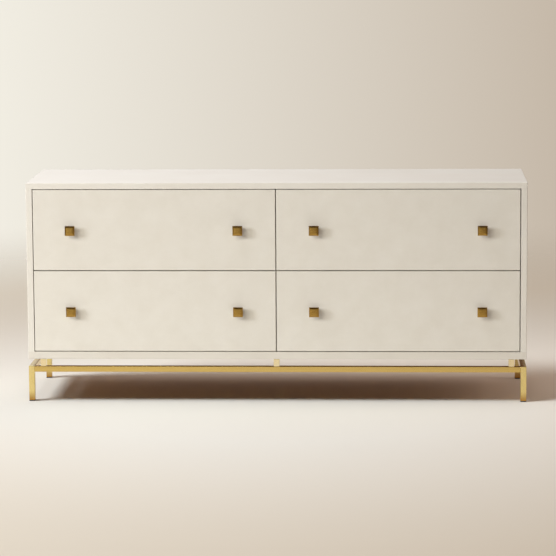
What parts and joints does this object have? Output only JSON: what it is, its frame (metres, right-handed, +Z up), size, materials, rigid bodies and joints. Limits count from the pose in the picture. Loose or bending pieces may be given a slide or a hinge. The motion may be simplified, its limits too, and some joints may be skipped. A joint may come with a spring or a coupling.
{
  "type": "campaign chest",
  "caption": "Wide low chest of drawers with flush inset fronts and square knobs, its ivory case raised on spacer blocks above a slim square-tube brass base.",
  "frame": {"origin": "on the floor, under the middle of the whole chest, knobs included", "axes": "+X along the width to the right as seen from the front, -Y out of the front, +Z up"},
  "size_m": [1.626, 0.485, 0.718],
  "materials": {
    "ivory_lacquer": "satin",
    "ivory_shagreen": "satin",
    "case_interior": "satin",
    "back_board": "matte",
    "drawer_birch": "satin",
    "birch_plywood": "satin",
    "satin_brass": "brushed",
    "knob_brass": "brushed",
    "zinc_steel": "satin",
    "black_nylon": "matte"
  },
  "bodies": {
    "carcass": {"top_panel": "ivory_lacquer", "bottom_panel": "ivory_lacquer", "left_side_panel": "ivory_lacquer", "right_side_panel": "ivory_lacquer", "centre_divider": "case_interior", "back_panel": "back_board", "loose_tongues": "birch_plywood", "base_front_rail": "satin_brass", "base_back_rail": "satin_brass", "base_left_rail": "satin_brass", "base_right_rail": "satin_brass", "front_left_leg": "satin_brass", "front_right_leg": "satin_brass", "back_left_leg": "satin_brass", "back_right_leg": "satin_brass", "base_spacers": "satin_brass", "base_bolts": "zinc_steel", "foot_glides": "black_nylon", "cabinet_channels": "zinc_steel"},
    "upper_left_drawer": {"upper_left_drawer_front": "ivory_shagreen", "upper_left_box_front": "drawer_birch", "upper_left_box_back": "drawer_birch", "upper_left_box_left_side": "drawer_birch", "upper_left_box_right_side": "drawer_birch", "upper_left_box_bottom": "birch_plywood", "upper_left_knobs": "knob_brass", "upper_left_knob_screws": "zinc_steel", "upper_left_drawer_channels": "zinc_steel"},
    "upper_left_middle_slides": {"upper_left_middle_channels": "zinc_steel"},
    "upper_right_drawer": {"upper_right_drawer_front": "ivory_shagreen", "upper_right_box_front": "drawer_birch", "upper_right_box_back": "drawer_birch", "upper_right_box_left_side": "drawer_birch", "upper_right_box_right_side": "drawer_birch", "upper_right_box_bottom": "birch_plywood", "upper_right_knobs": "knob_brass", "upper_right_knob_screws": "zinc_steel", "upper_right_drawer_channels": "zinc_steel"},
    "upper_right_middle_slides": {"upper_right_middle_channels": "zinc_steel"},
    "lower_left_drawer": {"lower_left_drawer_front": "ivory_shagreen", "lower_left_box_front": "drawer_birch", "lower_left_box_back": "drawer_birch", "lower_left_box_left_side": "drawer_birch", "lower_left_box_right_side": "drawer_birch", "lower_left_box_bottom": "birch_plywood", "lower_left_knobs": "knob_brass", "lower_left_knob_screws": "zinc_steel", "lower_left_drawer_channels": "zinc_steel"},
    "lower_left_middle_slides": {"lower_left_middle_channels": "zinc_steel"},
    "lower_right_drawer": {"lower_right_drawer_front": "ivory_shagreen", "lower_right_box_front": "drawer_birch", "lower_right_box_back": "drawer_birch", "lower_right_box_left_side": "drawer_birch", "lower_right_box_right_side": "drawer_birch", "lower_right_box_bottom": "birch_plywood", "lower_right_knobs": "knob_brass", "lower_right_knob_screws": "zinc_steel", "lower_right_drawer_channels": "zinc_steel"},
    "lower_right_middle_slides": {"lower_right_middle_channels": "zinc_steel"}
  },
  "joints": [
    {"name": "upper_left_drawer_slide", "type": "slide", "parent": "carcass", "child": "upper_left_drawer", "axis": [0, -1, 0], "range_m": [0, 0.36]},
    {"name": "upper_left_middle_slide", "type": "slide", "parent": "carcass", "child": "upper_left_middle_slides", "axis": [0, -1, 0], "range_m": [0, 0.18]},
    {"name": "upper_right_drawer_slide", "type": "slide", "parent": "carcass", "child": "upper_right_drawer", "axis": [0, -1, 0], "range_m": [0, 0.36]},
    {"name": "upper_right_middle_slide", "type": "slide", "parent": "carcass", "child": "upper_right_middle_slides", "axis": [0, -1, 0], "range_m": [0, 0.18]},
    {"name": "lower_left_drawer_slide", "type": "slide", "parent": "carcass", "child": "lower_left_drawer", "axis": [0, -1, 0], "range_m": [0, 0.36]},
    {"name": "lower_left_middle_slide", "type": "slide", "parent": "carcass", "child": "lower_left_middle_slides", "axis": [0, -1, 0], "range_m": [0, 0.18]},
    {"name": "lower_right_drawer_slide", "type": "slide", "parent": "carcass", "child": "lower_right_drawer", "axis": [0, -1, 0], "range_m": [0, 0.36]},
    {"name": "lower_right_middle_slide", "type": "slide", "parent": "carcass", "child": "lower_right_middle_slides", "axis": [0, -1, 0], "range_m": [0, 0.18]}
  ],
  "couplings": [
    {"joint": "upper_left_middle_slide", "follows": "upper_left_drawer_slide", "ratio": 0.5},
    {"joint": "upper_right_middle_slide", "follows": "upper_right_drawer_slide", "ratio": 0.5},
    {"joint": "lower_left_middle_slide", "follows": "lower_left_drawer_slide", "ratio": 0.5},
    {"joint": "lower_right_middle_slide", "follows": "lower_right_drawer_slide", "ratio": 0.5}
  ]
}
